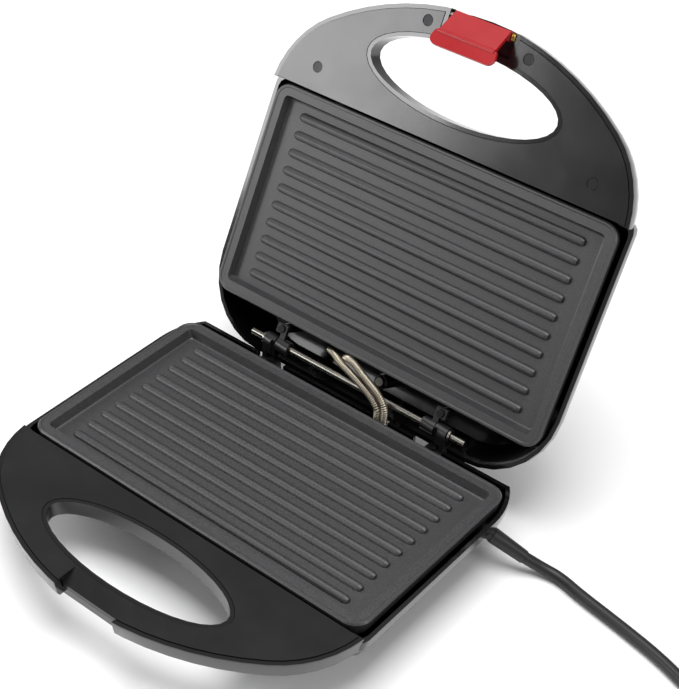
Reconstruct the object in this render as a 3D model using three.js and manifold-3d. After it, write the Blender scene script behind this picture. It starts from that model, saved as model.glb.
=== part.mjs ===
// Panini press: two grill plates in hinged plastic housings, with handle, latch and mains cord.
// Millimetres, +Z up. Origin: on the table, under the middle of the open press.
// Each housing half is drawn in its own half frame: z = 0 is the plane where the closed halves
// meet, +z looks out of the tray, and y runs from the handle (negative) to the hinge.
import * as THREE from 'three';
import { mergeVertices } from 'three/addons/utils/BufferGeometryUtils.js';
import Module from 'manifold-3d';

const wasm = await Module();
wasm.setup();

// ---------------------------------------------------------------- driving dimensions
const gap = 0.3;                    // clearance between pieces that rest on each other
const wall = 2.4;                   // housing wall
const halfWidth = 122.5;            // housing, centre to side
const bodyFront = -119.2;           // front wall of the tray, under the handle
const baseRear = 24.5;              // rear wall of the lower housing
const lidRear = 42;                 // rear wall of the lid, which reaches past the hinge
const rearCorner = 46;              // rear corner radius in plan
const frontCorner = 6;              // front corner radius in plan
const rimZ = -5.2;                  // tray rim, below the parting plane
const depth = 37;                   // tray depth from the parting plane
const footHeight = 4.8;

const handleFront = -190.5;         // front of the handle
const handleHalf = 121.5;           // handle, centre to side
const handleArc = 166;              // radius of the handle's front curve
const handleCorner = 60;            // radius where the front curve meets the sides
const baseHandleDepth = 13.7;       // underside of the handle, below the parting plane
const lidHandleDepth = 11.6;
const handleTaper = 3;              // the handle is this much smaller at its underside
const gripFlare = 2.4;              // bevel round the back of the hand opening
const gripA = 62.5;                 // hand opening, half length
const gripB = 20.2;                 // hand opening, half width
const gripY = -151.5;               // centre of the hand opening
const gripWall = 2.45;              // lip round the hand opening
const coverWall = 2.2;              // thickness of the handle covers
const baseCoverZ = -2;              // top of the lower handle cover
const lidCoverZ = 1.4;                // face of the lid's handle cover
const coverProud = 0.5;             // covers stand this much above the housing edge

const plateHalfWidth = 117.3;       // grill plate
const plateFront = -115.5;
const plateRear = 16.2;
const plateCorner = 10;
const plateTop = -0.3;              // rim of the plate, below the parting plane
const plateFloor = -6.3;            // cooking surface
const plateUnder = -9.3;            // underside
const ribCount = 10;
const ribPitch = 11;
const ribLength = 198;              // tip to tip
const ribRadius = 2.85;

const openAngle = 116.6;            // lid, from closed to its open stop, degrees
const hingeLineY = 31.1;            // where the closed halves mirror each other
const pinRise = 2.5;                // hinge rod above the parting plane with the lid open
const rodRadius = 2;
const rodHalf = 78;                 // half length of the hinge rod
const clipSpare = 0.4;              // between a retaining clip and the ring beside it
const clipRadius = 3.6;
const clipWall = 1.2;
const knuckleRadius = 4.2;
const knuckleIn = 49.3;             // lid knuckle, inner and outer side
const knuckleOut = 58.2;
const lugIn = 54.6;                 // screw lug of the lid knuckle
const lugOut = 62;
const lugFront = 16.8;
const lugRear = 22.6;
const lugTop = 3.9;
const lugWall = 2.4;
const bracketIn = 58.8;             // base bracket, inner and outer side of its slotted ring
const bracketOut = 67;
const earWall = 2.2;                // wall of the slotted ring
const slotSpare = 0.4;              // play above and below the rod in its slot
const footPlateIn = 55.6;             // foot of the base bracket
const footPlateFront = 21.3;
const footPlateRear = 29.2;
const footPlateZ = -8.3;
const footPlateWall = 2.2;
const bracketScrewX = 60;
const bracketScrewY = 25.2;
const bracketNeck = 3;              // web between the ring and its foot
const shelfDepth = 20;              // shelf for the bracket, down to here behind the rear wall
const wireRadius = 2.2;             // sprung conduits between the halves
const wireSlot = [19.4, 29.8];        // slot for them in the lower rear wall, from x to x
const wireSlotFront = 18;
const wireSlotZ = -15;

const notchHalf = 22;               // latch notch in the lid, half width
const notchFloor = -9;
const latchHalf = 18.1;               // latch at its barrel, at its bead and at its lip, half widths
const latchBeadHalf = 18.5;
const latchLipHalf = 21.2;
const latchWall = 2.2;
const latchAxis = [-186, -0.7];   // latch pin, y and z in the half frame
const latchTop = [-189, 1.7];    // outer face of the latch: top, bend and tip
const latchBend = [-176.8, 13.2];
const latchTip = [-168.8, 16.1];
const latchBarrel = 2.8;
const latchBead = 1.5;
const latchPinRadius = 1.2;
const latchSpringRadius = 2.5;
const recessHalf = 20.2;            // latch recess in the lower handle, half width
const recessFront = -183.8;
const recessDrop = 4.8;

const screwHead = 3.1;              // countersunk case screws
const screwShank = 1.4;
const screwLength = 9;
const screwBoss = 3.8;
const screwPlaces = [[-93.3, -130.8], [-33.4, -178.3], [33.4, -178.3], [93.3, -130.8]];
const lidScrewHead = 3.2;           // pan-head screws inside the trays
const lidBossX = -9.5;              // stud inside the lid, behind the plate
const lidBossY = 24;
const lidBossTop = -8;
const postX = 103.5;                // posts that carry the grill plates
const postFront = -103;
const postRear = -12;
const postRadius = 3.2;
const footRadius = 8;
const footStem = 3.2;
const footPlaces = [[-82, -88], [82, -88], [-82, 11.5], [82, 11.5]];
const lensRadius = 4;               // indicator lenses in the top of the lid
const lensX = 12;
const lensY = -92;

const shieldHalf = 98;              // heat shield
const shieldFront = -104;
const shieldRear = 7;
const shieldFloor = -20;
const shieldRim = -11;
const sheetMetal = 1;
const elementRadius = 3.2;          // heating element
const elementHalf = 84;
const elementFront = -88;
const elementRear = -10;
const elementBend = 16;
const elementEnd = 16;

const cordRadius = 3.4;
const strainNeck = 4.1;
const strainCollar = 4.6;
const strainFlange = 6.6;
const strainRoot = [109.4, -1.35, -15.8]; // centre line of the strain relief, lower half frame
const strainAim = [0.82, 0.3, -0.48];
const strainInside = 2.5;           // along the centre line: flange, collar and tip
const strainCollarAt = 10.8;
const strainTip = 32.5;
const coilX = 288;                  // coil of spare cord on the table
const coilY = 15.6;
const coilRadius = 36.3;            // centre line
const coilHeight = 23.2;
const tableZ = -depth - footHeight; // table, in the half frame of the lower housing
const centreY = 24.896;              // sets the middle of the open press over the origin
const sides = 12;                   // sides of small round pieces

// Housing section: share of the height below the rim, and inset from the rim outline.
const section = [
  [0, 0], [0.16, 0.3], [0.25, 1.4], [0.375, 4.4], [0.5, 7.2], [0.75, 13.5], [0.93, 20], [1, 27],
];
const rearTaper = 0.15;             // share of the inset that the rear wall takes
const frontTaper = 0.6;             // share that the front wall takes

// ---------------------------------------------------------------- finishes
const finish = (color, roughness, metalness = 0) =>
  new THREE.MeshStandardMaterial({ color, roughness, metalness });
const gloss = finish(0x111111, 0.12);
const satin = finish(0x2c2a2a, 0.3);
const coated = finish(0x47494a, 0.45, 0.3);
const steel = finish(0xb8b4ac, 0.3, 1);
const tin = finish(0xa9abad, 0.4, 1);
const black = finish(0x161616, 0.5);
const rubber = finish(0x1a1a1a, 0.85);
const red = finish(0xc23a40, 0.4);
const ceramic = finish(0xe6e0d2, 0.7);
const amber = finish(0xd86a1c, 0.25);
const green = finish(0x2f9d4c, 0.25);

// ---------------------------------------------------------------- solids
function solid(geometry) {
  const bare = geometry.clone();
  bare.deleteAttribute('normal');
  bare.deleteAttribute('uv');
  const merged = mergeVertices(bare, 1e-4);
  return new wasm.Manifold(new wasm.Mesh({
    numProp: 3,
    vertProperties: new Float32Array(merged.attributes.position.array),
    triVerts: new Uint32Array(merged.index.array),
  }));
}

function geometryOf(manifold) {
  const mesh = manifold.getMesh();
  const geometry = new THREE.BufferGeometry();
  geometry.setAttribute('position', new THREE.BufferAttribute(mesh.vertProperties, 3));
  geometry.setIndex(new THREE.BufferAttribute(mesh.triVerts, 1));
  geometry.computeVertexNormals();
  return geometry;
}

const join = (...parts) => parts.reduce((sum, part) => sum.add(part));
const cut = (body, ...tools) => tools.reduce((rest, tool) => rest.subtract(tool), body);

function box(xa, xb, y0, y1, z0, z1) {
  const geometry = new THREE.BoxGeometry(Math.abs(xb - xa), y1 - y0, z1 - z0);
  geometry.translate((xa + xb) / 2, (y0 + y1) / 2, (z0 + z1) / 2);
  return solid(geometry);
}

// Upright cylinder or cone from z0 to z1.
function upright(x, y, z0, z1, bottomRadius, topRadius = bottomRadius) {
  const geometry = new THREE.CylinderGeometry(topRadius, bottomRadius, z1 - z0, sides);
  geometry.rotateX(Math.PI / 2);
  geometry.translate(x, y, (z0 + z1) / 2);
  return solid(geometry);
}

// Cylinder along X.
function crosswise(xa, xb, y, z, radius) {
  const geometry = new THREE.CylinderGeometry(radius, radius, Math.abs(xb - xa), sides);
  geometry.rotateZ(Math.PI / 2);
  geometry.translate((xa + xb) / 2, y, z);
  return solid(geometry);
}

// Prism along X whose section is a list of [y, z] points.
function prismX(points, xa, xb) {
  const shape = new THREE.Shape(points.map(([y, z]) => new THREE.Vector2(y, z)));
  const geometry = new THREE.ExtrudeGeometry(shape, { depth: Math.abs(xb - xa), bevelEnabled: false });
  const start = Math.min(xa, xb);
  geometry.applyMatrix4(new THREE.Matrix4().set(0, 0, 1, start, 1, 0, 0, 0, 0, 1, 0, 0, 0, 0, 0, 1));
  return solid(geometry);
}

// Upright prism over a plan outline.
function prismZ(points, z0, z1) {
  const shape = new THREE.Shape(points.map(([x, y]) => new THREE.Vector2(x, y)));
  const geometry = new THREE.ExtrudeGeometry(shape, { depth: z1 - z0, bevelEnabled: false });
  geometry.translate(0, 0, z0);
  return solid(geometry);
}

// Closed skin through plan outlines of equal point count, lowest first.
function loft(layers) {
  const count = layers[0].outline.length;
  const position = layers.flatMap(({ outline, z }) => outline.flatMap(([x, y]) => [x, y, z]));
  const index = [];
  for (let k = 0; k < layers.length - 1; k += 1) {
    for (let i = 0; i < count; i += 1) {
      const a = k * count + i;
      const b = k * count + (i + 1) % count;
      index.push(a, b, a + count, b, b + count, a + count);
    }
  }
  const last = (layers.length - 1) * count;
  const cap = (outline) => THREE.ShapeUtils.triangulateShape(
    outline.map(([x, y]) => new THREE.Vector2(x, y)), []);
  for (const [a, b, c] of cap(layers[0].outline)) index.push(a, c, b);
  for (const [a, b, c] of cap(layers.at(-1).outline)) index.push(last + a, last + b, last + c);
  const geometry = new THREE.BufferGeometry();
  geometry.setAttribute('position', new THREE.Float32BufferAttribute(position, 3));
  geometry.setIndex(index);
  return solid(geometry);
}

// Turned piece along a line: profile points are [radius, distance from the start].
function turned(profile, start, aim) {
  const points = profile.map(([radius, along]) => new THREE.Vector2(radius, along));
  const geometry = new THREE.LatheGeometry(points, sides);
  const direction = new THREE.Vector3(...aim).normalize();
  geometry.applyQuaternion(new THREE.Quaternion().setFromUnitVectors(new THREE.Vector3(0, 1, 0), direction));
  geometry.translate(...start);
  return solid(geometry);
}

// Round tube along a curve.
function tube(curve, radius, steps, corners) {
  const rim = arc(0, 0, radius, 0, 360, corners).slice(0, -1).map(([x, y]) => new THREE.Vector2(x, y));
  return solid(new THREE.ExtrudeGeometry(new THREE.Shape(rim), {
    steps, extrudePath: curve, bevelEnabled: false,
  }));
}

const splineThrough = (points) => new THREE.CatmullRomCurve3(
  points.map((point) => new THREE.Vector3(...point)), false, 'centripetal');

// ---------------------------------------------------------------- plan outlines
function arc(cx, cy, radius, from, to, steps) {
  return Array.from({ length: steps + 1 }, (_, i) => {
    const angle = THREE.MathUtils.degToRad(from + (to - from) * i / steps);
    return [cx + radius * Math.cos(angle), cy + radius * Math.sin(angle)];
  });
}

const mirrored = (points) => points.map(([x, y]) => [-x, y]).reverse();
const bothSides = (make) => [-1, 1].map(make);

// Tray outline, inset from the rim. The rear edge may cut the corner arcs short.
function trayOutline(rear, inset, extra) {
  const side = halfWidth - inset - extra;
  const front = bodyFront + inset * frontTaper + extra;
  const full = lidRear - inset * rearTaper - extra;
  const back = rear - inset * rearTaper - extra;
  const small = Math.max(frontCorner - inset, 1.5);
  const large = rearCorner - inset / 2 - extra;
  const end = THREE.MathUtils.radToDeg(Math.asin(Math.min((back - full) / large + 1, 1)));
  const right = [
    ...arc(side - small, front + small, small, -90, 0, 3),
    ...arc(side - large, full - large, large, 0, end, 7),
  ];
  return [...right, ...mirrored(right)];
}

function roundedOutline(half, front, rear, radius, inset, steps) {
  const r = Math.max(radius - inset, 1.5);
  const side = half - inset - r;
  const right = [
    ...arc(side, front + inset + r, r, -90, 0, steps),
    ...arc(side, rear - inset - r, r, 0, 90, steps),
  ];
  return [...right, ...mirrored(right)];
}

// Handle outline: one long front arc, two corner arcs, and a straight edge at y = back.
function handleOutline(inset, back) {
  const arcY = handleFront + handleArc;
  const cornerX = handleHalf - handleCorner;
  const drop = Math.sqrt((handleArc - handleCorner) ** 2 - cornerX ** 2);
  const turn = THREE.MathUtils.radToDeg(Math.atan2(drop, cornerX));
  const r = handleCorner - inset;
  const end = THREE.MathUtils.radToDeg(Math.asin((back - arcY + drop) / r));
  const front = arc(0, arcY, handleArc - inset, turn - 180, -turn, 16).slice(1, -1);
  const right = arc(cornerX, arcY - drop, r, -turn, end, 6);
  return [...mirrored(right), ...front, ...right];
}

function gripOutline(extra) {
  const ring = arc(0, 0, 1, 0, 360, 36).slice(0, -1);
  return ring.map(([x, y]) => [x * (gripA + extra), gripY + y * (gripB + extra)]);
}

// ---------------------------------------------------------------- one half of the housing
const far = 60;                     // beyond any face that a cutting tool passes

function traySolid(rear, extra, top) {
  const floor = depth - (extra ? wall : 0);
  const rows = section.map(([share, inset]) => ({
    outline: trayOutline(rear, inset, extra),
    z: Math.max(rimZ - share * (depth + rimZ), -floor),
  })).reverse();
  return loft(extra ? [...rows, { outline: trayOutline(rear, 0, extra), z: top }] : rows);
}

function handleSolid(top, bottom) {
  const back = bodyFront + wall + 0.5;
  return loft([
    { outline: handleOutline(handleTaper, back), z: -bottom },
    { outline: handleOutline(handleTaper / 2, back), z: -bottom + 2 },
    { outline: handleOutline(0, back), z: rimZ + 1.5 },
    { outline: handleOutline(0, back), z: top },
  ]);
}

// Tray and hollow handle in one piece. The notch is an opening in the handle's front edge;
// raised says that its walls, like the lip of the hand opening, come up through the cover.
function housing(rear, coverZ, bottom, notch) {
  const seat = coverZ - coverWall - gap;
  const block = join(traySolid(rear, 0), handleSolid(coverZ - coverProud, bottom));
  const lip = prismZ(gripOutline(gripWall), -bottom, coverZ - coverProud / 2);
  const rim = notch.raised ? join(lip, notch.walls) : lip;
  const hollow = loft([
    { outline: handleOutline(wall + handleTaper / 2, bodyFront), z: -bottom + wall },
    { outline: handleOutline(wall, bodyFront), z: seat },
  ]);
  const coverRoom = cut(prismZ(handleOutline(wall, bodyFront + wall), seat, far), rim);
  const bay = traySolid(rear, wall, far);
  const shell = cut(block, cut(hollow, lip, notch.walls), coverRoom, bay);
  const posts = bothSides((s) => [postFront, postRear].map(
    (y) => upright(s * postX, y, -depth + 1, plateUnder - gap, postRadius))).flat();
  const heldPosts = join(...posts).intersect(traySolid(rear, 0));
  const bevel = loft([
    { outline: gripOutline(gripFlare + 1), z: -bottom - 1 },
    { outline: gripOutline(0), z: -bottom + gripFlare },
  ]);
  const whole = join(shell, lip, heldPosts);
  return cut(whole, notch.opening, prismZ(gripOutline(0), -far, far), bevel);
}

function handleCover(coverZ, opening) {
  const sheet = prismZ(handleOutline(wall + gap, bodyFront + wall - gap), coverZ - coverWall, coverZ);
  return cut(sheet, prismZ(gripOutline(gripWall + gap), -far, far), opening);
}

// Countersunk screw with its head's flat end at z = 0 and the shank pointing down.
const caseScrew = () => join(
  upright(0, 0, -1.2, 0, screwShank, screwHead),
  upright(0, 0, -screwLength, -1, screwShank),
);

// Screw with a low head, for the hinge pieces.
const flatScrew = (length) => join(
  upright(0, 0, 0, 0.9, lidScrewHead - 0.6, lidScrewHead - 0.9),
  upright(0, 0, -length, 0.5, screwShank),
);

const panScrew = (length) => join(
  upright(0, 0, 0, 1.6, lidScrewHead, lidScrewHead - 0.6),
  upright(0, 0, -length, 0.5, screwShank),
);

const countersink = (x, y, z) => join(
  upright(x, y, z - 1.5, z, screwShank + gap, screwHead + gap),
  upright(x, y, z - 0.01, z + 1, screwHead + gap),
  upright(x, y, z - far, z, screwShank + gap),
);

// ---------------------------------------------------------------- plates and heating
// Cast grill plate: skirt, flat rim, sunk floor and half-round ribs.
function grillPlate() {
  const ring = (z, inset) => ({
    z, outline: roundedOutline(plateHalfWidth, plateFront, plateRear, plateCorner, inset, 5),
  });
  const land = plateTop - 0.35;
  const casting = loft([
    ring(plateUnder, 9), ring(plateUnder + 1, 1.4), ring(plateTop - 0.9, 0), ring(plateTop, 0.8),
    ring(plateTop, 1.9), ring(land, 2.4), ring(land, 7), ring(plateFloor + 0.5, 8.6), ring(plateFloor, 9.4),
  ]);
  const middle = (plateFront + plateRear) / 2;
  const ribs = Array.from({ length: ribCount }, (_, i) => {
    const geometry = new THREE.CapsuleGeometry(ribRadius, ribLength - 2 * ribRadius, 2, 10);
    geometry.rotateZ(Math.PI / 2);
    geometry.translate(0, middle + (i - (ribCount - 1) / 2) * ribPitch, plateFloor - 0.05);
    return cut(solid(geometry), box(-far - far, far + far, plateFront, plateRear, -far, plateUnder + 1));
  });
  return join(casting, ...ribs);
}

// Reflector tray behind the heating element.
function heatShield() {
  const ring = (z, inset) => ({
    z, outline: roundedOutline(shieldHalf, shieldFront, shieldRear, 12, inset, 3),
  });
  const pan = loft([ring(shieldFloor, 9), ring(shieldRim, 0)]);
  const inside = loft([ring(shieldFloor + sheetMetal, 9), ring(shieldRim + 1, sheetMetal)]);
  return cut(pan, inside);
}

// Sheathed element: one bent loop with its two cold ends side by side.
function heatingElement() {
  const z = plateUnder - gap - elementRadius;
  const corners = [
    [-elementEnd, elementRear], [-elementHalf, elementRear], [-elementHalf, elementFront],
    [elementHalf, elementFront], [elementHalf, elementRear], [elementEnd, elementRear],
  ].map(([x, y]) => new THREE.Vector3(x, y, z));
  const toward = (from, to) => from.clone().lerp(to, elementBend / from.distanceTo(to));
  const path = new THREE.CurvePath();
  let start = corners[0];
  for (let i = 1; i < corners.length - 1; i += 1) {
    const before = toward(corners[i], corners[i - 1]);
    const after = toward(corners[i], corners[i + 1]);
    path.add(new THREE.LineCurve3(start, before));
    path.add(new THREE.QuadraticBezierCurve3(before, corners[i], after));
    start = after;
  }
  path.add(new THREE.LineCurve3(start, corners.at(-1)));
  return tube(path, elementRadius, 28, 6);
}

// ---------------------------------------------------------------- scene graph
const press = new THREE.Group();
const turn = THREE.MathUtils.degToRad(openAngle);

const lowerHalf = new THREE.Group();
lowerHalf.position.set(0, centreY, -tableZ);
press.add(lowerHalf);
const table = new THREE.Group();
table.position.set(0, centreY, 0);
press.add(table);

// The lid is the same half turned over, then swung open about the line where the halves mirror.
const swing = new THREE.Group();
swing.position.set(0, hingeLineY + centreY, -tableZ);
swing.rotation.x = -turn;
press.add(swing);
const upperHalf = new THREE.Group();
upperHalf.position.y = -hingeLineY;
upperHalf.rotation.y = Math.PI;
swing.add(upperHalf);

// The rod floats: it stands pinRise above the parting plane with the lid open and drops by twice
// that as the lid closes, and it lies this far behind the front so that the plates then meet.
const rodY = hingeLineY - pinRise * Math.sin(turn) / (1 - Math.cos(turn));

function place(group, name, manifold, material) {
  const mesh = new THREE.Mesh(geometryOf(manifold), material);
  mesh.name = name;
  group.add(mesh);
  return mesh;
}

const hand = (s) => (s < 0 ? 'left' : 'right');

// ---------------------------------------------------------------- lower housing
const rampRear = gripY - gripB - gripWall - gap;
const rampFrontZ = baseCoverZ - recessDrop;

const headInset = 0.4;              // screw heads sit this far below the face round them
const socketFloor = -baseHandleDepth + 4;
const socketTop = socketFloor + 1.6;

function lowerHousing() {
  const recess = box(-recessHalf, recessHalf, handleFront - far, recessFront, -far, far);
  const shell = housing(baseRear, baseCoverZ, baseHandleDepth, {
    opening: recess,
    walls: box(-recessHalf - wall, recessHalf + wall, handleFront - far, recessFront + wall, -far, far),
    raised: false,
  });
  const shelfTop = footPlateZ - footPlateWall - gap;
  const shelves = bothSides((s) => prismX(
    [[baseRear - wall, -depth + 6], [baseRear - 1, -depth + 6], [footPlateRear, -shelfDepth],
      [footPlateRear, shelfTop], [footPlateFront, shelfTop], [footPlateFront, shelfTop - 4],
      [baseRear - wall - 1, -shelfDepth]],
    s * footPlateIn, s * (bracketOut + 1),
  ));
  const sockets = screwPlaces.map(([x, y]) => upright(
    x, y, -baseHandleDepth + 1, socketTop, screwBoss + 1));
  const hingeRoom = bothSides((s) => box(
    s * (knuckleIn - 1), s * (bracketOut + 1), footPlateFront - gap, far, shelfTop, far));
  const ramp = prismX(
    [[rampRear, seatZ(baseCoverZ)], [recessFront - 1, rampFrontZ - coverWall - gap - 0.4],
      [recessFront - 1, far], [rampRear, far]], -recessHalf - 2, recessHalf + 2);
  const lip = prismZ(gripOutline(gripWall), -far, far);
  const cord = turned([[0, -far], [strainNeck + gap, -far], [strainNeck + gap, far], [0, far]],
    strainRoot, strainAim);
  const cordSide = box(halfWidth - 25, far * 3, -30, 40, -far, far);
  return cut(
    join(shell, ...shelves, ...sockets.map((socket) => cut(socket, lip))),
    ...hingeRoom,
    cut(ramp, lip),
    cord.intersect(cordSide),
    box(...wireSlot, wireSlotFront, far, wireSlotZ, far),
    ...footPlaces.map(([x, y]) => upright(x, y, -far, -depth + 4, footStem + gap)),
    ...bothSides((s) => upright(s * bracketScrewX, bracketScrewY, shelfTop - 8, far, screwShank + gap)),
    ...screwPlaces.map(([x, y]) => countersinkBelow(x, y, -baseHandleDepth + headInset)),
    ...screwPlaces.map(([x, y]) => upright(x, y, socketFloor, far, screwBoss + gap)),
  );
}

const seatZ = (coverZ) => coverZ - coverWall - gap;

function countersinkBelow(x, y, z) {
  return join(
    upright(x, y, z, z + 1.5, screwHead + gap, screwShank + gap),
    upright(x, y, z - far, z + 0.01, screwHead + gap),
    upright(x, y, z, z + far, screwShank + gap),
  );
}

// Lower cover: it dips into a ramp where the latch comes down, and carries the screw sockets.
function lowerCover() {
  const opening = box(-recessHalf, recessHalf, handleFront - far, rampRear, -far, far);
  const under = baseCoverZ - coverWall;
  const ramp = prismX([
    [rampRear + 1, baseCoverZ], [rampRear, baseCoverZ], [recessFront, rampFrontZ],
    [recessFront, rampFrontZ - coverWall], [rampRear, under], [rampRear + 1, under],
  ], -recessHalf - 0.5, recessHalf + 0.5);
  const cheeks = bothSides((s) => prismX([
    [rampRear + 1, baseCoverZ], [recessFront, baseCoverZ], [recessFront, rampFrontZ - coverWall],
    [rampRear, under], [rampRear + 1, under],
  ], s * recessHalf, s * (recessHalf + 1.6)));
  const handRoom = prismZ(gripOutline(gripWall + gap), -far, far);
  const sheet = join(handleCover(baseCoverZ, opening), cut(join(ramp, ...cheeks), handRoom));
  const bottom = socketFloor + gap;
  const posts = screwPlaces.map(([x, y]) => upright(x, y, bottom, baseCoverZ - 1, screwBoss));
  const bores = screwPlaces.map(([x, y]) => upright(x, y, -far, baseCoverZ - 1.6, screwShank + gap));
  return cut(join(sheet, ...posts), ...bores);
}

place(lowerHalf, 'base_shell', lowerHousing(), gloss);
place(lowerHalf, 'base_handle_cover', lowerCover(), satin);
screwPlaces.forEach(([x, y], i) => {
  const screw = place(lowerHalf, `base_cover_screw_${i + 1}`, caseScrew(), black);
  screw.position.set(x, y, -baseHandleDepth + headInset);
  screw.rotation.x = Math.PI;
});
place(lowerHalf, 'lower_grill_plate', grillPlate(), coated);
place(lowerHalf, 'lower_heat_shield', heatShield(), tin);
place(lowerHalf, 'lower_heating_element', heatingElement(), steel);
place(lowerHalf, 'thermostat', join(
  upright(0, -50, plateUnder - gap - 6, plateUnder - gap, 8),
  box(-11, 11, -53, -47, plateUnder - gap - 1.2, plateUnder - gap),
), ceramic);
place(lowerHalf, 'thermal_fuse', crosswise(28, 42, -50, plateUnder - gap - 2, 2), tin);
place(lowerHalf, 'terminal_block', join(
  box(46, 76, -46, -30, -depth + wall + gap, shieldFloor - 6),
  ...[51, 61, 71].map((x) => upright(x, -38, shieldFloor - 7, shieldFloor - 4, 3)),
), ceramic);

footPlaces.forEach(([x, y], i) => {
  const foot = join(
    upright(x, y, tableZ, -depth - gap, footRadius - 1, footRadius),
    upright(x, y, -depth - 1, -depth + wall + 2, footStem),
  );
  place(lowerHalf, `foot_${i + 1}`, foot, rubber);
});

// Base hinge brackets: a screwed foot and a ring whose upright slot lets the rod rise and fall.
bothSides((s) => {
  const reach = rodRadius + slotSpare + earWall;
  const ring = (radius) => join(
    crosswise(s * bracketIn, s * bracketOut, rodY, pinRise, radius),
    crosswise(s * bracketIn, s * bracketOut, rodY, -pinRise, radius),
    box(s * bracketIn, s * bracketOut, rodY - radius, rodY + radius, -pinRise, pinRise),
  );
  const neck = box(s * (bracketOut - bracketNeck), s * bracketOut, rodY - reach, footPlateRear,
    footPlateZ - 1, -pinRise);
  const foot = box(s * footPlateIn, s * bracketOut, footPlateFront, footPlateRear,
    footPlateZ - footPlateWall, footPlateZ);
  const body = join(ring(reach), neck, foot);
  const screwHole = upright(s * bracketScrewX, bracketScrewY, -far, far, screwShank + gap);
  place(lowerHalf, `base_hinge_bracket_${hand(s)}`, cut(body, ring(rodRadius + slotSpare), screwHole), black);
  const screw = place(lowerHalf, `base_hinge_screw_${hand(s)}`, flatScrew(7), steel);
  screw.position.set(s * bracketScrewX, bracketScrewY, footPlateZ + gap);
});

// ---------------------------------------------------------------- hinge rod
const rod = crosswise(-rodHalf, rodHalf, rodY, pinRise, rodRadius);
place(lowerHalf, 'hinge_rod', rod, steel);
bothSides((s) => {
  const from = bracketOut + clipSpare;
  const ring = crosswise(s * from, s * (from + clipWall), rodY, pinRise, clipRadius);
  const bore = crosswise(s * (from - 1), s * (from + clipWall + 1), rodY, pinRise, rodRadius + gap);
  place(lowerHalf, `rod_clip_${hand(s)}`, cut(ring, bore), steel);
});

// ---------------------------------------------------------------- lid
const notchRear = gripY - gripB - gripWall;

function lidHousing() {
  const opening = box(-notchHalf, notchHalf, handleFront - far, notchRear, notchFloor, far);
  const walls = box(-notchHalf - wall, notchHalf + wall, handleFront - far, notchRear + wall, -far, far);
  const outline = prismZ(handleOutline(0, bodyFront), -lidHandleDepth, lidCoverZ);
  const shell = housing(lidRear, lidCoverZ, lidHandleDepth, {
    opening,
    walls: walls.intersect(outline),
    raised: true,
  });
  const seat = seatZ(lidCoverZ);
  const bosses = screwPlaces.map(([x, y]) => upright(x, y, -lidHandleDepth + 1, seat, screwBoss));
  const studs = bothSides((s) => upright(
    s * lugMiddle, lugScrewY, -depth + 1, lugTop - lugWall - gap, lugStud));
  const stud = upright(lidBossX, lidBossY, -depth + 1, lidBossTop, 4.5);
  const lens = bothSides((s) => upright(s * lensX, lensY, -far, -depth + wall + 1, lensRadius + gap));
  return cut(
    join(shell, ...bosses, ...studs, stud),
    crosswise(-notchHalf - wall + 0.8, notchHalf + wall - 0.8, ...latchAxis, latchPinRadius + gap),
    ...screwPlaces.map(([x, y]) => upright(x, y, seat - screwLength + 1.2, far, screwShank + gap)),
    ...bothSides((s) => upright(
      s * lugMiddle, lugScrewY, lugTop - lugWall - 8, far, screwShank + gap)),
    upright(lidBossX, lidBossY, lidBossTop - 9, far, screwShank + gap),
    ...lens,
  );
}

const lugMiddle = (lugIn + lugOut) / 2;
const lugScrewY = (lugFront + lugRear) / 2;
const lugStud = (lugRear - lugFront) / 2;

function lidCover() {
  const opening = box(-notchHalf - wall - gap, notchHalf + wall + gap, handleFront - far,
    notchRear + wall + gap, -far, far);
  const cover = handleCover(lidCoverZ, opening);
  return cut(cover, ...screwPlaces.map(([x, y]) => countersink(x, y, lidCoverZ - headInset)));
}

place(upperHalf, 'lid_shell', lidHousing(), gloss);
place(upperHalf, 'lid_handle_cover', lidCover(), satin);
screwPlaces.forEach(([x, y], i) => {
  const screw = place(upperHalf, `lid_cover_screw_${i + 1}`, caseScrew(), black);
  screw.position.set(x, y, lidCoverZ - headInset);
});
place(upperHalf, 'upper_grill_plate', grillPlate(), coated);
place(upperHalf, 'upper_heat_shield', heatShield(), tin);
place(upperHalf, 'upper_heating_element', heatingElement(), steel);

// Lid knuckles: a bored barrel on the rod, with a square lug screwed down inside the lid.
bothSides((s) => {
  const barrel = crosswise(s * knuckleIn, s * knuckleOut, rodY, pinRise, knuckleRadius);
  const web = box(s * lugIn, s * knuckleOut, lugRear - 1, rodY, lugTop - lugWall, lugTop);
  const lug = box(s * lugIn, s * lugOut, lugFront, lugRear, lugTop - lugWall, lugTop);
  const bore = crosswise(s * (knuckleIn - 1), s * (knuckleOut + 1), rodY, pinRise, rodRadius + gap);
  const hole = upright(s * lugMiddle, lugScrewY, -far, far, screwShank + gap);
  const side = hand(-s);
  place(upperHalf, `lid_hinge_knuckle_${side}`, cut(join(barrel, web, lug), bore, hole), black);
  const screw = place(upperHalf, `lid_hinge_screw_${side}`, flatScrew(7), steel);
  screw.position.set(s * lugMiddle, lugScrewY, lugTop + gap);
});
const studScrew = place(upperHalf, 'lid_stud_screw', panScrew(8), steel);
studScrew.position.set(lidBossX, lidBossY, lidBossTop + gap);

bothSides((s) => {
  const lens = join(
    upright(s * lensX, lensY, -depth - 1.2, -depth + wall + 2, lensRadius - 0.4, lensRadius),
    upright(s * lensX, lensY, -depth + wall + gap, -depth + wall + 2, lensRadius + 1.5),
  );
  place(upperHalf, s < 0 ? 'ready_lens' : 'power_lens', lens, s < 0 ? green : amber);
});

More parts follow.
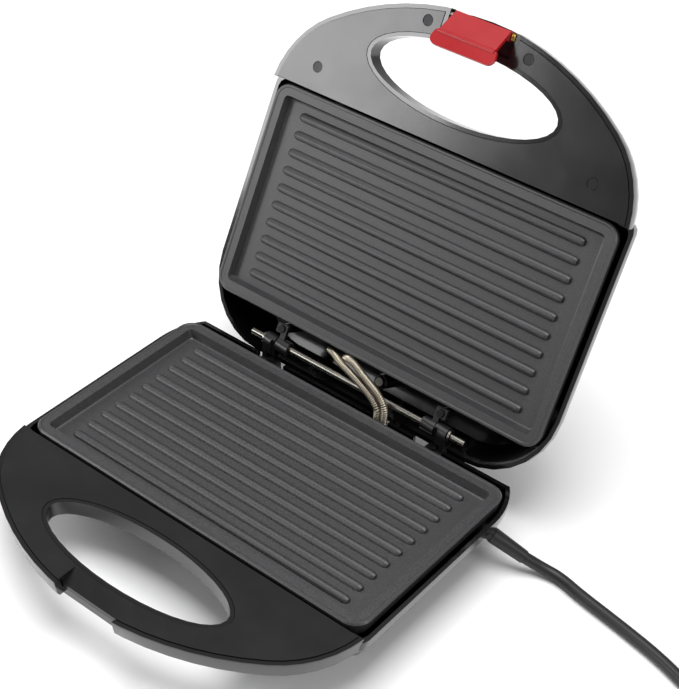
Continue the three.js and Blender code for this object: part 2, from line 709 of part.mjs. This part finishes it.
// ---------------------------------------------------------------- latch
// Flap drawn in its own plane: outline in x and distance from the start, thickness behind it.
function flap(start, end, startHalf, endHalf, corner) {
  const [y0, z0] = start;
  const length = Math.hypot(end[0] - y0, end[1] - z0);
  const tip = corner
    ? arc(endHalf - corner, length - corner, corner, 0, 90, 4)
    : [[endHalf, length]];
  const right = [[startHalf, 0], ...tip];
  const outline = [...right, ...mirrored(right)].map(([x, y]) => new THREE.Vector2(x, y));
  const geometry = new THREE.ExtrudeGeometry(new THREE.Shape(outline), {
    depth: latchWall, bevelEnabled: false,
  });
  geometry.translate(0, 0, -latchWall);
  geometry.rotateX(Math.atan2(end[1] - z0, end[0] - y0));
  geometry.translate(0, y0, z0);
  return solid(geometry);
}

const latch = cut(
  join(
    flap(latchTop, latchBend, latchHalf, latchBeadHalf, 0),
    flap(latchBend, latchTip, latchLipHalf - 1.2, latchLipHalf, 4.5),
    crosswise(-latchBeadHalf, latchBeadHalf, latchBend[0] + 0.6, latchBend[1] - 0.6, latchBead),
    crosswise(-latchHalf, latchHalf, ...latchAxis, latchBarrel),
  ),
  crosswise(-latchLipHalf, latchLipHalf, ...latchAxis, latchPinRadius + gap),
);
place(upperHalf, 'latch', latch, red);
const pinHalf = notchHalf + wall - 0.8 - gap;
place(upperHalf, 'latch_pin', crosswise(-pinHalf, pinHalf, ...latchAxis, latchPinRadius), steel);
const springRing = cut(
  crosswise(-latchHalf - 1, -notchHalf + gap, ...latchAxis, latchSpringRadius),
  crosswise(-latchHalf, -notchHalf - 1, ...latchAxis, latchPinRadius + gap),
);
place(upperHalf, 'latch_spring', springRing, steel);

// ---------------------------------------------------------------- conduits between the halves
const conduits = {
  conduit_inner: [
    [22.2, 22, -12], [22.2, 22, -5], [22, 22.1, 0.8], [19, 23.1, 3.8], [13.3, 24.6, 6.4],
    [3.6, 27.2, 8.6], [-4.8, 29.8, 9.4], [-14.2, 33.2, 9.2], [-24, 39.2, 7.6], [-30, 43.2, 4.8],
  ],
  conduit_outer: [
    [27, 22.3, -12], [27, 22.3, -4], [26.7, 22.6, 3], [23, 24, 7.7], [16.5, 25.6, 11],
    [6.4, 28.6, 13.3], [-2.6, 32.2, 14.2], [-9, 34.8, 13.4], [-14.5, 38.8, 9.2], [-18.8, 43.6, 4.4],
  ],
};
for (const [name, points] of Object.entries(conduits)) {
  place(lowerHalf, name, tube(splineThrough(points), wireRadius, 22, 8), steel);
}

// ---------------------------------------------------------------- cord
place(lowerHalf, 'strain_relief', turned([
  [0, 0], [strainFlange, 0], [strainFlange, strainInside], [strainNeck, strainInside],
  [strainNeck, strainCollarAt], [strainCollar, strainCollarAt], [strainCollar, strainCollarAt + 2],
  [cordRadius + 0.5, strainTip], [0, strainTip],
], strainRoot, strainAim), rubber);

// Centre line of the cord, with z from the table.
const lie = cordRadius + 0.1;
const cordRoute = [
  [136.3, 8.5, 10.2], [141.5, 10.7, 7.5], [147, 12.5, 5.3], [153, 13.7, 4], [160, 13.3, lie],
  [169, 11.2, lie], [178, 9.4, lie], [188, 7.6, lie], [207, 4, lie], [225, 0, lie], [241, -5, lie],
  [258, -11.6, lie], [270, -16.3, lie],
];
const tailRoute = [
  [324.3, 24.1, 18], [324.4, 32.1, 16.6], [324.6, 40, 14], [325, 48, 11], [325.4, 55, 9], [325.6, 61, 8.4],
  [325.6, 66, 8.4],
];
const plugHalf = [12.5, 16, 7.5];   // plug body, half width, half length and half height

function coilSolid(grow) {
  const inner = coilRadius - cordRadius - 0.3 - grow;
  const outer = coilRadius + cordRadius + 0.3 + grow;
  const profile = [[inner, 0.1 - grow], [outer, 0.1 - grow], [outer, coilHeight + grow],
    [inner, coilHeight + grow], [inner, 0.1 - grow]];
  const geometry = new THREE.LatheGeometry(profile.map(([r, z]) => new THREE.Vector2(r, z)), 28);
  geometry.rotateX(Math.PI / 2);
  geometry.translate(coilX, coilY, 0);
  return solid(geometry);
}

const plugCentre = [325.6, 66 + gap + plugHalf[1], 8.4];
place(table, 'power_cord', cut(tube(splineThrough(cordRoute), cordRadius, 30, 8), coilSolid(gap)), black);
place(table, 'cord_coil', coilSolid(0), black);
place(table, 'cord_tail', cut(tube(splineThrough(tailRoute), cordRadius, 10, 8), coilSolid(gap)), black);
const plugShape = roundedOutline(plugHalf[0], -plugHalf[1], plugHalf[1], 6, 0, 4);
const plugBody = place(table, 'plug_body', loft([
  { outline: plugShape.map(([x, y]) => [x * 0.85, y * 0.95]), z: -plugHalf[2] },
  { outline: plugShape, z: -plugHalf[2] + 2.5 },
  { outline: plugShape, z: plugHalf[2] - 2.5 },
  { outline: plugShape.map(([x, y]) => [x * 0.85, y * 0.95]), z: plugHalf[2] },
]), black);
plugBody.position.set(...plugCentre);
bothSides((s) => {
  const blade = box(s * 5.6, s * 7.1, plugHalf[1] + gap, plugHalf[1] + gap + 17, -3.15, 3.15);
  const mesh = place(table, `plug_blade_${hand(s)}`, blade, steel);
  mesh.position.set(...plugCentre);
});

export default press;
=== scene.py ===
# %% [markdown]
# # Panini press with a floating hinge
#
# A clamshell press stands open on a pale worktop. The CAD solids of the shells, plates, covers,
# screws and hinge are kept and given their finishes here. The cord, the two spring conduits and
# the latch's small torsion spring are modelled anew, because a coil of wire is what one sees.

import math

import bmesh
import bpy
from mathutils import Matrix, Vector


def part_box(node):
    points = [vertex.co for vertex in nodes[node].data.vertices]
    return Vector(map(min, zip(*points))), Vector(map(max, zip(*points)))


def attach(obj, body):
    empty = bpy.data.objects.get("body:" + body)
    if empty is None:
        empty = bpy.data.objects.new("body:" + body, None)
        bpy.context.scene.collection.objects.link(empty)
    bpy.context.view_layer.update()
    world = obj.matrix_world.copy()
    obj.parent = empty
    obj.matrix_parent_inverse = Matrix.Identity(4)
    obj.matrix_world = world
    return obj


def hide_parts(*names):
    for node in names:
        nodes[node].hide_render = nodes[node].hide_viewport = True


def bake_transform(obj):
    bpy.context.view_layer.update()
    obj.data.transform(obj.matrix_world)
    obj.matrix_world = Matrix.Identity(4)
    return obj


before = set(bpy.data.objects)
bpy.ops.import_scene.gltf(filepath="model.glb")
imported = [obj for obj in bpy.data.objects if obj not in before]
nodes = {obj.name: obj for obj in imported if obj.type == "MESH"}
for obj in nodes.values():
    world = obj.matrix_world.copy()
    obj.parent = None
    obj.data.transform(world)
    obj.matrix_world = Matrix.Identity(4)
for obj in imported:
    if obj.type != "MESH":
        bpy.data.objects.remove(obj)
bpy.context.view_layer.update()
MM = 0.001

# %% [markdown]
# ## Camera
#
# A long lens high over the right front corner looks down on both plates at once. The matrix is
# the camera's own right, up and backward directions, so its slight roll is kept exactly.

# %% Camera
RIGHT = Vector((0.774283, 0.632017, 0.032238))
UP = Vector((-0.415128, 0.468803, 0.779675))
BACK = Vector((0.477655, -0.617072, 0.625354))
EYE = Vector((0.4309, -0.5326, 0.6437))

camera_data = bpy.data.cameras.new("camera")
camera_data.lens = 85.05
camera_data.sensor_width = 36
camera_data.shift_x = 0.0227
camera_data.shift_y = 0.0255
camera = bpy.data.objects.new("camera", camera_data)
bpy.context.collection.objects.link(camera)
turned = Matrix((RIGHT, UP, BACK)).transposed().to_4x4()
camera.matrix_world = Matrix.Translation(EYE) @ turned
bpy.context.scene.camera = camera
print("camera stands", round(EYE.length, 3), "m from the origin")

# %% [markdown]
# ## Colours and nodes
#
# Two small functions serve every material. One turns an sRGB hex value to the linear colour that
# Blender works in. The other adds a node, sets what is known and links what is computed, so that
# each material reads as a short recipe.


# %% Colour and node helpers
def linear(hex_value):
    """An sRGB hex value as a linear colour with full alpha."""
    parts = [int(hex_value[i:i + 2], 16) / 255 for i in (1, 3, 5)]
    return [c / 12.92 if c <= 0.04045 else ((c + 0.055) / 1.055) ** 2.4 for c in parts] + [1.0]


def add(tree, kind, settings=None, values=None, links=None):
    """Adds a node, with its properties, its socket values and its incoming links."""
    node = tree.nodes.new(kind)
    for name, value in (settings or {}).items():
        setattr(node, name, value)
    for name, value in (values or {}).items():
        node.inputs[name].default_value = value
    for name, source in (links or {}).items():
        tree.links.new(source, node.inputs[name])
    return node


def start(name):
    """An empty node material and its tree."""
    material = bpy.data.materials.new(name)
    material.use_nodes = True
    material.node_tree.nodes.clear()
    return material, material.node_tree


def close(tree, shader):
    add(tree, "ShaderNodeOutputMaterial", links={"Surface": shader.outputs["BSDF"]})


# %% [markdown]
# ## One recipe for even surfaces
#
# Moulded, cast and plated surfaces all have the same build-up: a colour that wanders a little, a
# roughness that wanders with it, and a fine grain raised as a bump. Only sizes and amounts
# differ. Each pattern's scale is one over its real size in metres.


# %% Even surface recipe
def surface(name, dark, light, rough, grain_mm, grain_depth_mm, drift_mm=30.0, detail=3.0, **shader):
    """Material whose colour and roughness drift over drift_mm, with a raised grain of grain_mm."""
    material, tree = start(name)
    place = add(tree, "ShaderNodeTexCoord").outputs["Object"]
    drift = add(tree, "ShaderNodeTexNoise", values={
        "Scale": 1000 / drift_mm, "Detail": detail, "Roughness": 0.6}, links={"Vector": place})
    colour = add(tree, "ShaderNodeMix", {"data_type": "RGBA"}, links={"Factor": drift.outputs["Fac"]})
    colour.inputs["A"].default_value = linear(dark)
    colour.inputs["B"].default_value = linear(light)
    colour_out = next(s for s in colour.outputs if s.type == "RGBA")
    low, high = rough
    rougher = add(tree, "ShaderNodeMapRange", values={
        "From Min": 0.3, "From Max": 0.7, "To Min": low, "To Max": high},
        links={"Value": drift.outputs["Fac"]})
    grain = add(tree, "ShaderNodeTexNoise", values={
        "Scale": 1000 / grain_mm, "Detail": 2.0, "Roughness": 0.5}, links={"Vector": place})
    bump = add(tree, "ShaderNodeBump", values={"Strength": 1.0, "Distance": grain_depth_mm * MM},
               links={"Height": grain.outputs["Fac"]})
    body = add(tree, "ShaderNodeBsdfPrincipled", values=shader, links={
        "Base Color": colour_out, "Roughness": rougher.outputs["Result"],
        "Normal": bump.outputs["Normal"]})
    close(tree, body)
    return material


# %% [markdown]
# ## Finishes
#
# The shells are ABS from a polished mould: nearly black, with a faint orange-peel waviness of a
# few millimetres that breaks up reflections. The inner covers are the same plastic from a finer,
# slightly duller mould. The plates are cast aluminium under a sprayed non-stick film, a dark grey
# speckle of about half a millimetre. Drawn a little coarser than life, the speckle still shows.

# %% Plastics
gloss_abs = surface("gloss_black_abs", "#060607", "#0d0d0e", (0.1, 0.17), 3.5, 0.012,
                    **{"Coat Weight": 0.35, "Coat Roughness": 0.06, "IOR": 1.53})
satin_abs = surface("satin_black_abs", "#121213", "#1a1a1b", (0.2, 0.28), 2.5, 0.012, **{"IOR": 1.5})
cover_abs = surface("lid_cover_black_abs", "#0c0c0d", "#131314", (0.16, 0.22), 3.0, 0.01,
                    **{"IOR": 1.55})
red_abs = surface("red_latch_abs", "#9c1219", "#a8161d", (0.3, 0.38), 0.9, 0.01, **{"IOR": 1.5})
ceramic = surface("steatite_block", "#cfc8b8", "#ddd7c9", (0.5, 0.65), 0.8, 0.02, **{"IOR": 1.55})
print("plastics made")

# %% Metals
shield_tin = surface("aluminised_sheet", "#8d8b86", "#a5a39d", (0.3, 0.42), 1.2, 0.01,
                     **{"Metallic": 1.0})
bright_steel = surface("drawn_steel_rod", "#77756f", "#96938c", (0.22, 0.34), 0.8, 0.008,
                       **{"Metallic": 1.0})
black_steel = surface("black_painted_steel", "#111112", "#1c1c1d", (0.26, 0.36), 0.7, 0.012,
                      **{"IOR": 1.5})
black_screw = surface("blackened_screw_steel", "#151516", "#242426", (0.25, 0.4), 0.5, 0.006,
                      **{"Metallic": 0.6})
spring_steel = surface("close_wound_spring_steel", "#b3a998", "#cfc6b6", (0.3, 0.4), 0.6, 0.004,
                       **{"Metallic": 1.0})
spring_brass = surface("yellow_plated_spring_wire", "#a37f3d", "#c09a55", (0.25, 0.35), 0.5, 0.004,
                       **{"Metallic": 1.0})
blade_brass = surface("nickel_plated_blade", "#a9a396", "#bdb7a9", (0.18, 0.28), 0.8, 0.004,
                      **{"Metallic": 1.0})
print("metals made")

# %% Rubber, sleeve and lenses
foot_rubber = surface("moulded_foot_rubber", "#101010", "#1a1a1a", (0.65, 0.8), 0.6, 0.02)
cord_sleeve = surface("extruded_pvc_sleeve", "#111112", "#191919", (0.42, 0.55), 0.8, 0.02,
                      **{"IOR": 1.5})
green_lens = surface("green_tinted_lens", "#0f8a2c", "#1fa53e", (0.12, 0.2), 1.5, 0.01,
                     **{"Transmission Weight": 0.35, "IOR": 1.49})
amber_lens = surface("amber_tinted_lens", "#c7610c", "#dd7a1c", (0.12, 0.2), 1.5, 0.01,
                     **{"Transmission Weight": 0.35, "IOR": 1.49})


# %% [markdown]
# ## Non-stick film
#
# The film has its own recipe, since its speckle is in the colour as well as in the surface. Grains
# of pigment near 0.6 mm across lie in a darker binder, and the sprayed surface rises and falls
# over the same distance. It scatters light broadly, which is why the ribs show soft highlights.


# %% Non-stick film
def film(name, binder, pigment):
    material, tree = start(name)
    place = add(tree, "ShaderNodeTexCoord").outputs["Object"]
    speckle = add(tree, "ShaderNodeTexNoise", values={
        "Scale": 1000 / 0.6, "Detail": 1.5, "Roughness": 0.7}, links={"Vector": place})
    sharper = add(tree, "ShaderNodeMapRange", values={
        "From Min": 0.36, "From Max": 0.64, "To Min": 0.0, "To Max": 1.0},
        links={"Value": speckle.outputs["Fac"]})
    colour = add(tree, "ShaderNodeMix", {"data_type": "RGBA"},
                 links={"Factor": sharper.outputs["Result"]})
    colour.inputs["A"].default_value = linear(binder)
    colour.inputs["B"].default_value = linear(pigment)
    colour_out = next(s for s in colour.outputs if s.type == "RGBA")
    rougher = add(tree, "ShaderNodeMapRange", values={
        "From Min": 0.3, "From Max": 0.7, "To Min": 0.36, "To Max": 0.5},
        links={"Value": speckle.outputs["Fac"]})
    bump = add(tree, "ShaderNodeBump", values={"Strength": 1.0, "Distance": 0.03 * MM},
               links={"Height": speckle.outputs["Fac"]})
    body = add(tree, "ShaderNodeBsdfPrincipled", values={"IOR": 1.6}, links={
        "Base Color": colour_out, "Roughness": rougher.outputs["Result"],
        "Normal": bump.outputs["Normal"]})
    close(tree, body)
    return material


plate_film = film("sprayed_non_stick_film", "#232324", "#3c3c3e")
print("non-stick film made")


# %% [markdown]
# ## Dressing the CAD solids
#
# Every kept solid takes one finish. Only its material slots are refilled, because the shape of a
# CAD mesh is never edited here.

# %% Finishes for the CAD solids
FINISHES = {
    gloss_abs: ["base_shell", "lid_shell"],
    satin_abs: ["base_handle_cover", "plug_body"],
    cover_abs: ["lid_handle_cover"],
    plate_film: ["lower_grill_plate", "upper_grill_plate"],
    shield_tin: ["lower_heat_shield", "upper_heat_shield", "thermal_fuse"],
    bright_steel: ["lower_heating_element", "upper_heating_element", "hinge_rod",
                   "rod_clip_left", "rod_clip_right", "lid_stud_screw", "latch_pin"],
    ceramic: ["thermostat", "terminal_block"],
    black_steel: ["base_hinge_bracket_left", "base_hinge_bracket_right",
                  "lid_hinge_knuckle_left", "lid_hinge_knuckle_right"],
    black_screw: ["base_hinge_screw_left", "base_hinge_screw_right",
                  "lid_hinge_screw_left", "lid_hinge_screw_right"]
    + [f"{half}_cover_screw_{i}" for half in ("base", "lid") for i in range(1, 5)],
    foot_rubber: [f"foot_{i}" for i in range(1, 5)],
    cord_sleeve: ["strain_relief"],
    blade_brass: ["plug_blade_left", "plug_blade_right"],
    red_abs: ["latch"],
    green_lens: ["ready_lens"],
    amber_lens: ["power_lens"],
}
for finish, names in FINISHES.items():
    for name in names:
        mesh = nodes[name].data
        mesh.materials.clear()
        mesh.materials.append(finish)
print(sum(len(names) for names in FINISHES.values()), "solids dressed")

# %% [markdown]
# ## Smooth curves, crisp edges
#
# A CAD solid arrives as loose flat triangles, so a rounded corner would show its facets. Four live
# modifiers cure that and leave the mesh itself alone: Weld joins the triangles, a small node group
# shades the faces smooth, Edge Split keeps every edge sharper than 34 degrees crisp, and Weighted
# Normal lets the large flat faces stay flat.

# %% Smooth shading as a modifier
def smooth_shading():
    """A geometry node group that shades every face smooth."""
    group = bpy.data.node_groups.new("smooth_faces", "GeometryNodeTree")
    group.interface.new_socket("Geometry", in_out="INPUT", socket_type="NodeSocketGeometry")
    group.interface.new_socket("Geometry", in_out="OUTPUT", socket_type="NodeSocketGeometry")
    entry = add(group, "NodeGroupInput")
    smooth = add(group, "GeometryNodeSetShadeSmooth", links={"Geometry": entry.outputs["Geometry"]})
    add(group, "NodeGroupOutput", links={"Geometry": smooth.outputs["Geometry"]})
    return group


# %% Shading of the CAD solids
WELD_MM = 0.002
CRISP_ANGLE = math.radians(34)
FLAT_FACE_WEIGHT = 90
smooth_faces = smooth_shading()
for name in sum(FINISHES.values(), []):
    solid = nodes[name]
    solid.modifiers.new("weld", "WELD").merge_threshold = WELD_MM * MM
    solid.modifiers.new("smooth", "NODES").node_group = smooth_faces
    solid.modifiers.new("split", "EDGE_SPLIT").split_angle = CRISP_ANGLE
    weighted = solid.modifiers.new("weighted", "WEIGHTED_NORMAL")
    weighted.keep_sharp = True
    weighted.weight = FLAT_FACE_WEIGHT
print("curves smoothed")

# %% [markdown]
# ## Power cord
#
# A round cord of 6.8 mm leaves the right side of the base, drops to the worktop and runs off to the
# right, where its spare length is wound into one neat coil before the plug. It is one curve of
# fixed length through listed points, with the coil's turns made by a loop.

# %% Cord route
HINGE_SHIFT = 24.896
LIE = 3.5
route = [(136.3, 8.5, 10.2), (141.5, 10.7, 7.5), (147, 12.5, 5.3), (153, 13.7, 4), (160, 13.3, LIE),
         (169, 11.2, LIE), (178, 9.4, LIE), (188, 7.6, LIE), (207, 4, LIE), (225, 0, LIE),
         (241, -5, LIE), (258, -11.6, LIE), (270, -16.3, LIE)]
COIL_X, COIL_Y, COIL_R = 288.0, 15.6, 36.3
PITCH = 6.9
FLAT_TURN = 0.3                     # the coil lies flat for this much of a turn before it climbs
COIL_TOP = 19.0                     # highest centre line of the last turn
TAIL_KNOTS = 7                      # knots after the last climb, counted from the end for the print below
first, turns, per_turn = math.radians(-110.6), 2.3, 24
steps = int(turns * per_turn)
for i in range(steps + 1):
    angle = first + 2 * math.pi * turns * i / steps
    climb = LIE + 0.1 + PITCH * max(0.0, i / per_turn - FLAT_TURN) * turns / (turns - FLAT_TURN)
    route.append((COIL_X + COIL_R * math.cos(angle), COIL_Y + COIL_R * math.sin(angle),
                  min(climb, COIL_TOP)))
route += [(324.4, 32.1, 16.6), (324.6, 40, 14), (325, 48, 11), (325.4, 55, 9), (325.6, 61, 8.4),
          (325.6, 66, 8.4)]
cord_points = [Vector((x, y + HINGE_SHIFT, z)) * MM for x, y, z in route]
print(len(cord_points), "points, last turn ends at", [round(c / MM, 1) for c in cord_points[-TAIL_KNOTS]])


# %% Round wire along a line
def wire(name, points, radius, finish, ring=10, shown=3):
    """A smooth round curve through points, as an object with its finish."""
    data = bpy.data.curves.new(name, "CURVE")
    data.dimensions = "3D"
    data.bevel_depth = radius
    data.bevel_resolution = ring // 3
    data.resolution_u = shown
    data.render_resolution_u = shown
    data.use_fill_caps = True
    line = data.splines.new("BEZIER")
    line.bezier_points.add(len(points) - 1)
    for knot, point in zip(line.bezier_points, points):
        knot.co = point
        knot.handle_left_type = "AUTO"
        knot.handle_right_type = "AUTO"
    data.materials.append(finish)
    piece = bpy.data.objects.new(name, data)
    bpy.context.collection.objects.link(piece)
    return piece


def length_of(points):
    return sum((b - a).length for a, b in zip(points, points[1:]))


CORD_RADIUS = 3.4 * MM
cord = wire("mains_cord", cord_points, CORD_RADIUS, cord_sleeve, ring=15)
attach(cord, "base")
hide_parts("power_cord", "cord_coil", "cord_tail")

# %% [markdown]
# ## Spring conduits
#
# Two close-wound steel springs carry the wires across the hinge. They are real helices: a smooth
# centre line is walked in small equal steps, and a frame carried along it winds the wire round. They
# leave the base straight up, lean to the left and enter the lid, so each is curved from the hinge
# rod to the lid; the coils are baked in place and ride with no body.


# %% Centre lines and helices
def smooth_line(points, per_span=12):
    """Catmull-Rom points through the given ones."""
    ends = [points[0] * 2 - points[1]] + points + [points[-1] * 2 - points[-2]]
    line = []
    for a, b, c, d in zip(ends, ends[1:], ends[2:], ends[3:]):
        for i in range(per_span):
            t = i / per_span
            line.append(0.5 * ((2 * b) + (c - a) * t + (2 * a - 5 * b + 4 * c - d) * t * t
                               + (3 * b - a - 3 * c + d) * t ** 3))
    return line + [points[-1]]


def at(line, distance):
    """Point and direction at a distance along a line."""
    for a, b in zip(line, line[1:]):
        span = (b - a).length
        if distance <= span:
            return a.lerp(b, distance / span), (b - a).normalized()
        distance -= span
    return line[-1].copy(), (line[-1] - line[-2]).normalized()


def helix(line, radius, pitch, per_turn=10):
    """Points of a coil wound round a line."""
    total = length_of(line)
    count = int(total / pitch * per_turn)
    side = Vector((0, 1, 0))
    coil = []
    for i in range(count + 1):
        centre, along = at(line, total * i / count)
        side = (side - along * side.dot(along)).normalized()
        across = along.cross(side)
        turn = 2 * math.pi * i / per_turn
        coil.append(centre + (side * math.cos(turn) + across * math.sin(turn)) * radius)
    return coil


def mesh_of(piece):
    """The piece's curve made a mesh."""
    bpy.context.view_layer.update()
    evaluated = piece.evaluated_get(bpy.context.evaluated_depsgraph_get())
    data = bpy.data.meshes.new_from_object(evaluated)
    name = piece.name
    old = piece.data
    bpy.data.objects.remove(piece)
    bpy.data.curves.remove(old)
    solid = bpy.data.objects.new(name, data)
    bpy.context.collection.objects.link(solid)
    for face in data.polygons:
        face.use_smooth = True
    return solid


# %% Conduits
BASE_LIFT = 41.8
CONDUITS = {
    "conduit_inner": [(22.2, 22, -12), (22.2, 22, -5), (22, 22.1, 0.8), (19, 23.1, 3.8),
                      (13.3, 24.6, 6.4), (3.6, 27.2, 8.6), (-4.8, 29.8, 9.4), (-14.2, 33.2, 9.2),
                      (-24, 39.2, 7.6), (-30, 43.2, 4.8)],
    "conduit_outer": [(27, 22.3, -12), (27, 22.3, -4), (26.7, 22.6, 3), (23, 24, 7.7),
                      (16.5, 25.6, 11), (6.4, 28.6, 13.3), (-2.6, 32.2, 14.2), (-9, 34.8, 13.4),
                      (-14.5, 38.8, 9.2), (-18.8, 43.6, 4.4)],
}
WIRE_R, COIL_OUTER, TURN_PITCH = 0.5, 2.2, 1.2
for node_name, spots in CONDUITS.items():
    centre_line = smooth_line([Vector((x, y + HINGE_SHIFT, z + BASE_LIFT)) * MM for x, y, z in spots])
    coil_points = helix(centre_line, (COIL_OUTER - WIRE_R) * MM, TURN_PITCH * MM, per_turn=12)
    spring = mesh_of(wire(node_name + "_spring", coil_points, WIRE_R * MM, spring_steel, ring=3, shown=1))
    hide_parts(node_name)
    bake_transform(spring)
    print(spring.name, len(spring.data.polygons), "faces,", round(length_of(centre_line) / MM, 1), "mm")

# %% [markdown]
# ## Latch spring
#
# A small torsion spring of yellow-plated wire sits on the latch's pin at its right-hand end, and on
# the real press it pushes the latch back. It rides with the lid.

# %% Latch spring
low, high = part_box("latch_spring")
pin_low, pin_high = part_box("latch_pin")
pin_y, pin_z = (pin_low[1] + pin_high[1]) / 2, (pin_low[2] + pin_high[2]) / 2
axis_line = [Vector((low[0] + (high[0] - low[0]) * i / 20, pin_y, pin_z)) for i in range(21)]
LATCH_COIL_R, LATCH_PITCH, LATCH_WIRE_R = 2.1 * MM, 0.8 * MM, 0.35 * MM
latch_coil = helix(axis_line, LATCH_COIL_R, LATCH_PITCH, per_turn=12)
latch_spring = mesh_of(wire("latch_torsion_spring", latch_coil, LATCH_WIRE_R, spring_brass, ring=6,
                            shown=2))
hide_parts("latch_spring")
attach(latch_spring, "lid")
print("latch spring has", len(latch_spring.data.polygons), "faces")

# %% [markdown]
# ## Worktop and light
#
# The floor is plain and nearly white, and a wide softbox straight above keeps it so. Gloss black
# shows what surrounds it, so the sky is nearly dark: the covers then stay black, and three small
# softboxes, at the right, low in front and at the left, lay soft lights along them.

# %% Floor
floor_mesh = bpy.data.meshes.new("worktop")
sketch = bmesh.new()
bmesh.ops.create_grid(sketch, x_segments=1, y_segments=1, size=6.0)
sketch.to_mesh(floor_mesh)
sketch.free()
floor = bpy.data.objects.new("worktop", floor_mesh)
bpy.context.collection.objects.link(floor)
floor_mesh.materials.append(surface("white_worktop", "#fafafa", "#ffffff", (0.75, 0.85), 2.0, 0.0,
                                    drift_mm=400.0))


# %% Lights
def softbox(name, spot, target, width, height, power):
    data = bpy.data.lights.new(name, "AREA")
    data.shape = "RECTANGLE"
    data.size, data.size_y, data.energy = width, height, power
    lamp = bpy.data.objects.new(name, data)
    bpy.context.collection.objects.link(lamp)
    lamp.location = spot
    lamp.rotation_euler = (Vector(target) - Vector(spot)).to_track_quat("-Z", "Y").to_euler()


softbox("overhead_softbox", (0, 0, 2.6), (0, 0, 0), 1.8, 1.8, 62)
softbox("side_softbox", (1.6, 0.2, 0.7), (0, 0.05, 0.1), 0.5, 1.2, 8)
softbox("front_softbox", (-1.0, -1.08, 0.68), (-0.05, 0.14, 0.2), 0.55, 0.6, 8)
softbox("left_softbox", (-1.9, 0.5, 1.1), (0, 0.03, 0.08), 0.4, 0.4, 4)

world = bpy.data.worlds.new("white_studio")
world.use_nodes = True
world.node_tree.nodes["Background"].inputs["Color"].default_value = linear("#ffffff")
world.node_tree.nodes["Background"].inputs["Strength"].default_value = 0.35
bpy.context.scene.world = world
bpy.context.scene.view_settings.view_transform = "Standard"
print("lights set")
